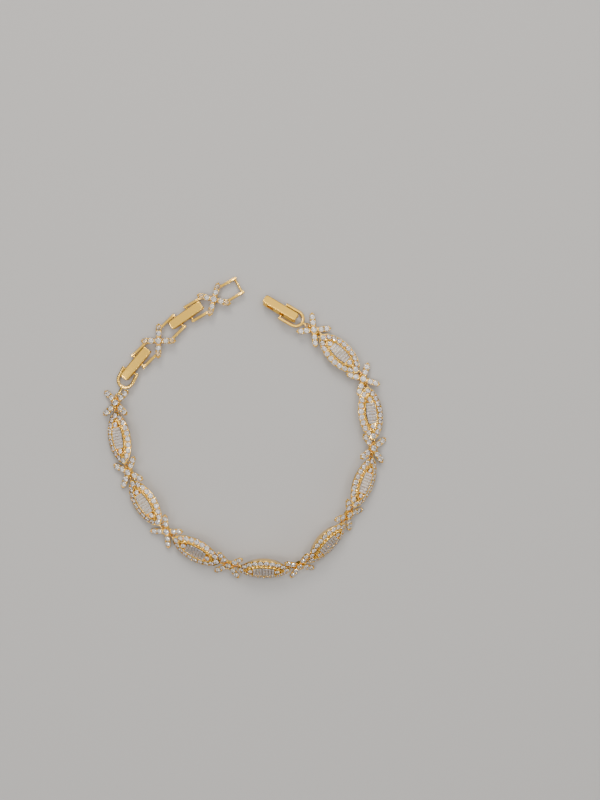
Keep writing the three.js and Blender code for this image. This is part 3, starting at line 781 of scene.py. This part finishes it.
def hub(sizes):
    """Cup under the centre stone, turned about z, and the stone's four prongs."""
    foot, seat = np.array([HUB_FOOT, HUB_SEAT]) * MM
    wall = [(sizes.hub_radius - inset * MM, height * MM) for inset, height in HUB_WALL]
    profile = [foot, *wall, (sizes.centre_radius, wall[-1][1]), seat]
    place = shifted(sizes.centre_radius + HUB_PRONG_GAP, 0, HUB_PRONG_TOP)
    wire = moved(prong(HUB_PRONG, HUB_PRONG_LENGTH), place)
    return joined([lathe(profile, count=24), repeated(wire, around(PETALS))])


def plain_eyes():
    """Upright eyes at both sides of a flower that has no frame."""
    reach = KINDS["flower"].end * MM + EYE_REACH - EYE_RADIUS
    return [ring(EYE_RADIUS, EYE_WIRE, (side * reach, 0, 0), 1) for side in (-1, 1)]


class LoopSizes(bpy.types.PropertyGroup):
    """Sizes of the bail, the D-ring and the flowers' frames"""

    wire: size_in_mm("Wire", "Width of the bail's and D-ring's flat wire", 0.72)
    height: size_in_mm("Wire height", "Of the bail's and D-ring's flat wire", 0.6)
    bar_radius: size_in_mm("Bar radius", "Of the round cross bars", 0.28)
    rail_outer: size_in_mm("Frame width", "Over both rails of a flower's frame", 4.7)
    rail_width: size_in_mm("Rail width", "Of one rail", 0.65)
    frame_reach: size_in_mm("Frame reach", "From the flower's middle to the cross bar", 7.05)


RAIL_HALF_HEIGHT = 0.35 * MM
RAIL_HEIGHT = 0.05 * MM  # of a rail's middle
RAIL_FROM = 1.9 * MM
RAIL_PAST_BAR = 0.2 * MM
RAIL_ROUNDING = 0.08 * MM


def cross_bar(loops, x, half):
    """Round bar across the chain at x."""
    section = oval(loops.bar_radius, loops.bar_radius, power=2, count=16)
    return soft_bar((x, -half, 0), (x, half, 0), section, UP, BAR_ROUNDING)


def frame_rails(loops):
    """Two rails and two cross bars, soldered to a flower."""
    half_side = loops.rail_width / 2
    side_at = loops.rail_outer / 2 - half_side
    section = oval(half_side, RAIL_HALF_HEIGHT, power=7, count=24)
    end = loops.frame_reach + loops.bar_radius + RAIL_PAST_BAR
    parts = []
    for side in (-1, 1):
        for way in (-1, 1):
            start = (way * RAIL_FROM, side * side_at, RAIL_HEIGHT)
            stop = (way * end, side * side_at, RAIL_HEIGHT)
            parts.append(soft_bar(start, stop, section, UP, RAIL_ROUNDING))
        parts.append(cross_bar(loops, side * loops.frame_reach, side_at))
    return parts


def flower_metal(sizes, loops, framed):
    """Petals and hub, with a frame or two eyes."""
    parts = [repeated(petal(sizes), around(PETALS, PETAL_TURN)), hub(sizes)]
    parts += frame_rails(loops) if framed else plain_eyes()
    return joined(parts)


def flower_rounds(sizes):
    """The two stones of each petal."""
    places = [shifted(at, 0, PETAL_GIRDLE) for at in (sizes.first_stone, sizes.second_stone)]
    pair = repeated(brilliant(sizes.stone_radius), places)
    return repeated(pair, around(PETALS, PETAL_TURN))


# ---- bail and D-ring ----


# A loop's width and length over its bend, in millimetres, and the way that its bend lies.
Loop = namedtuple("Loop", "width length way")
LOOPS = {"bail": Loop(4.9, 5.85, 1), "d_ring": Loop(4.7, 4.7, -1)}
# Round end of a loop's arm: place along it in millimetres, and size against the wire's.
ARM_END = np.array([(-0.28, 0.75), (-0.25, 0.9), (-0.18, 0.98), (-0.05, 1), (0.2, 1), (1, 1)])
LOOP_NECK_DEPTH = 0.3 * MM  # how far a loop's neck goes into its bend
BEND_STEPS = 25


def wire_loop(loops, shape, joint):
    """Flat wire bent to a U with a cross bar between its ends and an eye beyond its bend."""
    radius = (shape.width * MM - loops.wire) / 2
    straight = (shape.length - shape.width / 2) * MM
    turn = np.linspace(-np.pi / 2, np.pi / 2, BEND_STEPS)
    bend = circle(turn, radius) + [straight, 0]
    low = np.column_stack([ARM_END[:, 0] * MM, np.full(len(ARM_END), -radius)])
    high = low[::-1] * [1, -1]
    route = np.concatenate([low, bend, high]) * shape.way
    shrink = np.concatenate([ARM_END[:, 1], np.ones(len(bend)), ARM_END[::-1, 1]])
    section = oval(loops.wire / 2, loops.height / 2, power=4, count=20)
    path = at_height(route, 0)
    parts = [swept(path, section, UP, shrink=shrink), cross_bar(loops, 0, radius)]
    parts += eye_and_neck(shape.way, joint, shape.length * MM - LOOP_NECK_DEPTH)
    return joined(parts)


# ---- fold-over units ----


class UnitSizes(bpy.types.PropertyGroup):
    """Sizes of the fold-over covers"""

    length: size_in_mm("Cover length", "Of a fold-over cover", 9.5)
    width: size_in_mm("Cover width", "Of a fold-over cover", 2.32)
    corner: size_in_mm("Corner radius", "Of a cover's corners in plan", 0.6)
    edge: size_in_mm("Edge radius", "Of a cover's top edge", 0.16)
    low: size_in_mm("Cover underside", "Above the chain's axis", 0.72)
    top: size_in_mm("Cover top", "Above the chain's axis", 1.18)


CORNER_STEPS = 9
LOWER_EDGE = 0.05 * MM
TOP_EDGE = np.radians([0, 22, 45, 68, 90])  # turns of the top edge's rounding
CROWNING = [(0.05, 0.012), (0.25, 0.02)]  # inset from the edge and rise of the plate's top


def plate_outline(length, width, corner, inset):
    """Rectangle with round corners, drawn in all round by inset."""
    quarter = np.linspace(0, np.pi / 2, CORNER_STEPS)
    x, y = length / 2 - corner, width / 2 - corner
    centres = [(x, y), (-x, y), (-x, -y), (x, -y)]
    arcs = [circle(quarter + turn, corner - inset) + at for turn, at in zip(even(4), centres)]
    return np.concatenate(arcs) + [length / 2, 0]


def cover_plate(sizes):
    """Plate whose top edge is rounded by a quarter circle and its lower edge a little less."""
    low_inset, low_height = rounded(LOWER_EDGE, QUARTER[::-1])
    top_inset, top_depth = rounded(sizes.edge, TOP_EDGE)
    crown_inset, crown_rise = np.array(CROWNING).T * MM
    insets = [*low_inset, *top_inset, *(sizes.edge + crown_inset)]
    heights = [*(sizes.low + low_height), *(sizes.top - top_depth), *(sizes.top + crown_rise)]
    return skin(np.array([
        at_height(plate_outline(sizes.length, sizes.width, sizes.corner, inset), height)
        for inset, height in zip(insets, heights)
    ]))


# Bars of a cover, in millimetres: ends, half sizes and power of the section, the way of its
# height, and how much its ends are rounded.
Bar = namedtuple("Bar", "start end side height power up rounding")
COVER_BARS = {
    "lip": Bar((0.15, 0, -0.2), (0.15, 0, 0.8), 0.5, 0.15, 6, (1, 0, 0), 0.05),
    "knuckle": Bar((HINGE_AT, -0.5, 0), (HINGE_AT, 0.5, 0), 0.4, 0.4, 2, (0, 0, 1), 0.05),
    "neck": Bar((HINGE_AT, 0, 0), (HINGE_AT, 0, 0.82), 0.5, 0.3, 8, (1, 0, 0), 0.03),
    "pin": Bar((HINGE_AT, -0.95, 0), (HINGE_AT, 0.95, 0), 0.22, 0.22, 2, (0, 0, 1), 0.05),
}


def cover(sizes):
    """A cover's plate with its lip, its hinge knuckle and neck, and the pin."""
    parts = [cover_plate(sizes)]
    for bar in COVER_BARS.values():
        section = oval(bar.side * MM, bar.height * MM, bar.power, count=24)
        start, end = np.array(bar.start) * MM, np.array(bar.end) * MM
        parts.append(soft_bar(start, end, section, bar.up, bar.rounding * MM))
    return joined(parts)


TRAY_EDGE = 0.05 * MM
TRAY_EDGE_FROM = np.radians(30)  # least angle of an edge that is rounded
TRAY_FLAT_TO = np.radians(1)  # greatest angle of an edge that is dissolved
TRAY_WELD = 0.002 * MM


def softened_tray(name, node, material):
    """Copy of a tray's CAD node with its flat faces made whole and its edges rounded."""
    mesh = frame["nodes"][node].data.copy()
    mesh.name = name
    shape = bmesh.new()
    shape.from_mesh(mesh)
    bmesh.ops.remove_doubles(shape, verts=shape.verts, dist=TRAY_WELD)
    bmesh.ops.dissolve_limit(
        shape, angle_limit=TRAY_FLAT_TO, verts=shape.verts, edges=shape.edges)
    shape.to_mesh(mesh)
    shape.free()
    mesh.polygons.foreach_set("use_smooth", np.full(len(mesh.polygons), True))
    piece = finished(name, mesh, material, "chain", [node])
    bevel = piece.modifiers.new("rounded edges", "BEVEL")
    bevel.width = TRAY_EDGE
    bevel.segments = 2
    bevel.limit_method = "ANGLE"
    bevel.angle_limit = TRAY_EDGE_FROM
    bevel.harden_normals = True


# ---- materials ----


class Finish(bpy.types.PropertyGroup):
    """Colours of the gold and the floor"""

    gold: colour_of("Gold", "Colour of the settings and rings", 0.95, 0.6, 0.12)
    gold_deep: colour_of("Deep gold", "Warmer colour of the gold in patches", 0.88, 0.51, 0.08)
    plate: colour_of("Plate gold", "Colour of the fold-over units", 0.97, 0.6, 0.1)
    plate_deep: colour_of(
        "Deep plate gold", "Warmer colour of the units in patches", 0.93, 0.54, 0.08)
    floor: colour_of("Floor", "Colour of the floor", 0.45, 0.44, 0.43)


# Sockets of the metal's marks, as name, way and kind.
MARK_SOCKETS = [
    ("Vector", "INPUT", "Vector"),
    ("Grain", "INPUT", "Float"),
    ("Depth", "INPUT", "Float"),
    ("Patches", "OUTPUT", "Float"),
    ("Marks", "OUTPUT", "Float"),
    ("Normal", "OUTPUT", "Vector"),
]
PATCHES = {"Scale": 420, "Detail": 3}
MARKS = {"Detail": 4, "Roughness": 0.65}
MARK_HEIGHT = 0.02 * MM
MARK_RANGE = (0.3, 0.7)  # values of the marks at the smoothest and dullest gold
# The two golds: the properties that hold their colours, the scale and depth of their marks, and
# their roughness where they are smoothest and dullest.
Gold = namedtuple("Gold", "colour deep grain depth smooth dull")
GOLDS = {
    "polished gold": Gold("gold", "gold_deep", 9000, 0.08, 0.1, 0.22),
    "plate gold": Gold("plate", "plate_deep", 6000, 0.1, 0.16, 0.26),
}
# The two cuts of stone, and the share of the light that goes through them.
CLEARNESS = {"cut stone": 0.9, "step-cut stone": 0.8}
STONE_TINTS = [
    (0.98, 0.92, 0.9, 1), (1, 0.95, 0.86, 1), (0.97, 0.93, 0.94, 1), (1, 0.91, 0.86, 1),
]
STONE_CELLS = 700  # scale of the pattern that tints the stones
STONE_BENDING = 2.15  # index of refraction


def fill(node, values):
    """Sets a node's inputs by name."""
    for name, value in values.items():
        node.inputs[name].default_value = value


def connect(links, *runs):
    """Links sockets. Each run is a node with its output, and a node with its input."""
    for start, output, end, entry in runs:
        links.new(start.outputs[output], end.inputs[entry])


def metal_marks():
    """Node group that gives patches, a mark mask and a normal for handled metal."""
    group = bpy.data.node_groups.new("metal marks", "ShaderNodeTree")
    for name, way, kind in MARK_SOCKETS:
        group.interface.new_socket(name, in_out=way, socket_type="NodeSocket" + kind)
    nodes, links = group.nodes, group.links
    into = nodes.new("NodeGroupInput")
    out = nodes.new("NodeGroupOutput")
    patches = nodes.new("ShaderNodeTexNoise")
    fill(patches, PATCHES)
    marks = nodes.new("ShaderNodeTexNoise")
    fill(marks, MARKS)
    bump = nodes.new("ShaderNodeBump")
    fill(bump, {"Distance": MARK_HEIGHT})
    connect(
        links,
        (into, "Vector", patches, "Vector"),
        (into, "Vector", marks, "Vector"),
        (into, "Grain", marks, "Scale"),
        (into, "Depth", bump, "Strength"),
        (marks, "Fac", bump, "Height"),
        (patches, "Fac", out, "Patches"),
        (marks, "Fac", out, "Marks"),
        (bump, "Normal", out, "Normal"),
    )
    return group


def new_material(name):
    """New material with its nodes, links and shader."""
    material = bpy.data.materials.new(name)
    material.use_nodes = True
    nodes = material.node_tree.nodes
    return material, nodes, material.node_tree.links, nodes["Principled BSDF"]


def gold_material(name, gold):
    """Gold plating with warmer patches, and a roughness that follows its marks."""
    finish = bpy.context.scene.bracelet_finish
    material, nodes, links, shader = new_material(name)
    place = nodes.new("ShaderNodeTexCoord")
    group = nodes.new("ShaderNodeGroup")
    group.node_tree = bpy.data.node_groups.get("metal marks") or metal_marks()
    fill(group, {"Grain": gold.grain, "Depth": gold.depth})
    mix = nodes.new("ShaderNodeMix")
    mix.data_type = "RGBA"
    fill(mix, {"A": getattr(finish, gold.colour), "B": getattr(finish, gold.deep)})
    spread = nodes.new("ShaderNodeMapRange")
    fill(spread, {"From Min": MARK_RANGE[0], "From Max": MARK_RANGE[1]})
    fill(spread, {"To Min": gold.smooth, "To Max": gold.dull})
    fill(shader, {"Metallic": 1})
    connect(
        links,
        (place, "Object", group, "Vector"),
        (group, "Patches", mix, "Factor"),
        (mix, "Result", shader, "Base Color"),
        (group, "Marks", spread, "Value"),
        (spread, "Result", shader, "Roughness"),
        (group, "Normal", shader, "Normal"),
    )
    return material


def stone_material(name, clear):
    """Clear cut stone. Its faint tint changes from stone to stone."""
    material, nodes, links, shader = new_material(name)
    place = nodes.new("ShaderNodeTexCoord")
    cells = nodes.new("ShaderNodeTexVoronoi")
    fill(cells, {"Scale": STONE_CELLS})
    ramp = nodes.new("ShaderNodeValToRGB")
    elements = ramp.color_ramp.elements
    for index, tint in enumerate(STONE_TINTS):
        at = index / (len(STONE_TINTS) - 1)
        element = elements[index] if index < 2 else elements.new(at)
        element.position = at
        element.color = tint
    fill(shader, {"Transmission Weight": clear, "Roughness": 0, "IOR": STONE_BENDING})
    connect(
        links,
        (place, "Object", cells, "Vector"),
        (cells, "Color", ramp, "Fac"),
        (ramp, "Color", shader, "Base Color"),
    )
    return material


def finish_of(name):
    """The named material, made the first time that it is asked for."""
    found = bpy.data.materials.get(name)
    if found:
        return found
    if name in CLEARNESS:
        return stone_material(name, CLEARNESS[name])
    return gold_material(name, GOLDS[name])


# ---- operators ----


class MakeLeaves(bpy.types.Operator):
    """Makes the settings, round stones and baguettes of all the leaves"""

    bl_idname = "bracelet.leaves"
    bl_label = "Leaves"

    def execute(self, context):
        sizes = context.scene.bracelet_leaf
        metal, rounds, row = leaf_metal(sizes), leaf_rounds(sizes), leaf_row(sizes)
        for name, place in links_of("leaf"):
            make_gold(name + "_setting", moved(metal, place), name)
            make_stones(name + "_rounds", moved(rounds, place))
            make_stones(
                name + "_row", moved(row, place), [name + "_baguettes"], "step-cut stone")
        return {"FINISHED"}


class MakeFlowers(bpy.types.Operator):
    """Makes the settings and stones of all the flowers, two of them with frames"""

    bl_idname = "bracelet.flowers"
    bl_label = "Flowers"

    def execute(self, context):
        sizes, loops = context.scene.bracelet_flower, context.scene.bracelet_loop
        rounds = flower_rounds(sizes)
        centre = moved(brilliant(sizes.centre_radius), shifted(0, 0, CENTRE_GIRDLE))
        for kind in ("flower", "framed"):
            metal = flower_metal(sizes, loops, kind == "framed")
            for name, place in links_of(kind):
                make_gold(name + "_setting", moved(metal, place), name)
                make_stones(name + "_rounds", moved(rounds, place))
                make_stones(name + "_centre", moved(centre, place), [name + "_stone"])
        return {"FINISHED"}


class MakeRings(bpy.types.Operator):
    """Makes the bail and the D-ring"""

    bl_idname = "bracelet.rings"
    bl_label = "Bail and D-ring"

    def execute(self, context):
        loops = context.scene.bracelet_loop
        for name, place in links_of(*LOOPS):
            shape, kind = LOOPS[name], KINDS[name]
            joint = max(kind.end, -kind.start) * MM
            make_gold(name + "_wire", moved(wire_loop(loops, shape, joint), place), name)
        return {"FINISHED"}


class MakeUnits(bpy.types.Operator):
    """Makes the trays and covers of the fold-over clasp and extenders"""

    bl_idname = "bracelet.units"
    bl_label = "Fold-over units"

    def execute(self, context):
        shape = cover(context.scene.bracelet_unit)
        plate = finish_of("plate gold")
        for name, place in links_of("clasp", "extender"):
            body = name + "_cover"
            part = moved(shape, place)
            make_piece(name + "_plate", part, plate, body, [body], soft=True)
            softened_tray(name + "_channel", name + "_tray", plate)
        return {"FINISHED"}


class StageSizes(bpy.types.PropertyGroup):
    """The camera's view and the floor"""

    elevation: FloatProperty(
        name="Elevation", description="Of the camera above the floor",
        default=np.radians(87.5), subtype="ANGLE")
    view_height: size_in_mm("View height", "Length of floor that the picture's height shows", 200)
    aim_x: size_in_mm("Aim across", "Where the camera looks, from the bracelet's middle", 13.8)
    aim_y: size_in_mm("Aim along", "Where the camera looks, from the bracelet's middle", 6.75)
    floor_size: FloatProperty(
        name="Floor size", description="Side of the square floor", default=3, unit="LENGTH")
    lens: FloatProperty(name="Lens", description="Focal length in millimetres", default=85)


LAMP_DISTANCE = 0.6
CAMERA_NEAR = 0.01  # from which the camera sees things, in metres
ROOM_LIGHT = 0.12  # strength of the even light from all round
FLOOR_ROUGHNESS = 0.7
# Lamps: azimuth and elevation in degrees, side of the square lamp in metres, power in watts.
Lamp = namedtuple("Lamp", "name azimuth elevation side power tint")
LAMPS = [
    Lamp("key", 100, 40, 0.2, 1.7, (1, 0.95, 0.88)),
    Lamp("right", 55, 42, 0.5, 1, (1, 0.98, 0.95)),
    Lamp("left", 215, 42, 0.5, 1, (1, 0.98, 0.95)),
    Lamp("low", -20, 22, 0.4, 0.8, (1, 0.96, 0.9)),
    Lamp("top", 90, 85, 0.8, 1.9, (1, 0.99, 0.97)),
    Lamp("glint_1", 20, 62, 0.03, 0.25, (0.95, 0.97, 1)),
    Lamp("glint_2", 80, 68, 0.03, 0.25, (1, 0.97, 0.95)),
    Lamp("glint_3", 165, 60, 0.03, 0.25, (1, 0.95, 1)),
    Lamp("glint_4", 200, 60, 0.03, 0.25, (1, 0.96, 0.9)),
    Lamp("glint_5", 260, 68, 0.03, 0.25, (1, 1, 0.95)),
    Lamp("glint_6", 320, 64, 0.03, 0.25, (0.97, 0.97, 1)),
]


def bearing(azimuth, elevation, distance):
    """Point at a distance from the middle, in a direction given in degrees."""
    round_z, up = np.radians(azimuth), np.radians(elevation)
    return distance * np.append(circle(round_z, np.cos(up)), np.sin(up))


def looking(item, place, target):
    """Puts a lamp or camera at a place, turned so that its -z axis meets the target."""
    back = unit(np.asarray(place) - target)
    right = unit(np.cross([0, 1, 0], back))
    up = np.cross(back, right)
    item.matrix_world = placed((right, up, back), place).T.tolist()


class MakeStage(bpy.types.Operator):
    """Makes the floor, the lamps, the surroundings and the camera"""

    bl_idname = "bracelet.stage"
    bl_label = "Stage"

    def execute(self, context):
        scene, sizes = context.scene, context.scene.bracelet_stage
        half = sizes.floor_size / 2
        mesh = bpy.data.meshes.new("floor")
        corners = [(-half, -half, 0), (half, -half, 0), (half, half, 0), (-half, half, 0)]
        mesh.from_pydata(corners, [], [(0, 1, 2, 3)])
        material, *_, shader = new_material("matt floor")
        fill(shader, {
            "Base Color": scene.bracelet_finish.floor, "Roughness": FLOOR_ROUGHNESS})
        mesh.materials.append(material)
        floor = linked("floor", mesh)
        world = bpy.data.worlds.new("soft room")
        world.use_nodes = True
        fill(world.node_tree.nodes["Background"], {
            "Color": (1, 1, 1, 1), "Strength": ROOM_LIGHT})
        scene.world = world
        for lamp in LAMPS:
            data = bpy.data.lights.new(lamp.name, "AREA")
            data.size = lamp.side
            data.energy = lamp.power
            data.color = lamp.tint
            place = bearing(lamp.azimuth, lamp.elevation, LAMP_DISTANCE)
            looking(linked(lamp.name, data), place, np.zeros(3))
        data = bpy.data.cameras.new("camera")
        data.lens = sizes.lens
        data.clip_start = CAMERA_NEAR
        camera = linked("camera", data)
        distance = sizes.view_height * data.lens / data.sensor_width
        aim = np.array([sizes.aim_x, sizes.aim_y, 0])
        looking(camera, aim + bearing(-90, np.degrees(sizes.elevation), distance), aim)
        scene.camera = camera
        return {"FINISHED"}


class BraceletPanel(bpy.types.Panel):
    """Lists what makes the bracelet's pieces, and their sizes and colours"""

    bl_idname = "VIEW3D_PT_bracelet"
    bl_label = "Leaf Bracelet"
    bl_space_type = "VIEW_3D"
    bl_region_type = "UI"
    bl_category = "Bracelet"

    def draw(self, context):
        for operator in OPERATORS:
            self.layout.operator(operator.bl_idname)
        for name, group in GROUPS.items():
            box = self.layout.box()
            box.label(text=group.__doc__)
            for field in group.__annotations__:
                box.prop(getattr(context.scene, name), field)


GROUPS = {
    "bracelet_leaf": LeafSizes,
    "bracelet_flower": FlowerSizes,
    "bracelet_loop": LoopSizes,
    "bracelet_unit": UnitSizes,
    "bracelet_finish": Finish,
    "bracelet_stage": StageSizes,
}
OPERATORS = [MakeLeaves, MakeFlowers, MakeRings, MakeUnits, MakeStage]
CLASSES = [*GROUPS.values(), *OPERATORS, BraceletPanel]


def register():
    """Registers the sizes, the operators and the panel."""
    for item in CLASSES:
        bpy.utils.register_class(item)
    for name, group in GROUPS.items():
        setattr(bpy.types.Scene, name, PointerProperty(type=group))


def unregister():
    """Takes away what register added, in the other order."""
    for name in reversed(GROUPS):
        delattr(bpy.types.Scene, name)
    for item in reversed(CLASSES):
        bpy.utils.unregister_class(item)


def main():
    """Makes the bracelet and its stage."""
    register()
    bpy.ops.bracelet.leaves()
    bpy.ops.bracelet.flowers()
    bpy.ops.bracelet.rings()
    bpy.ops.bracelet.units()
    bpy.ops.bracelet.stage()


if __name__ == "__main__":
    main()
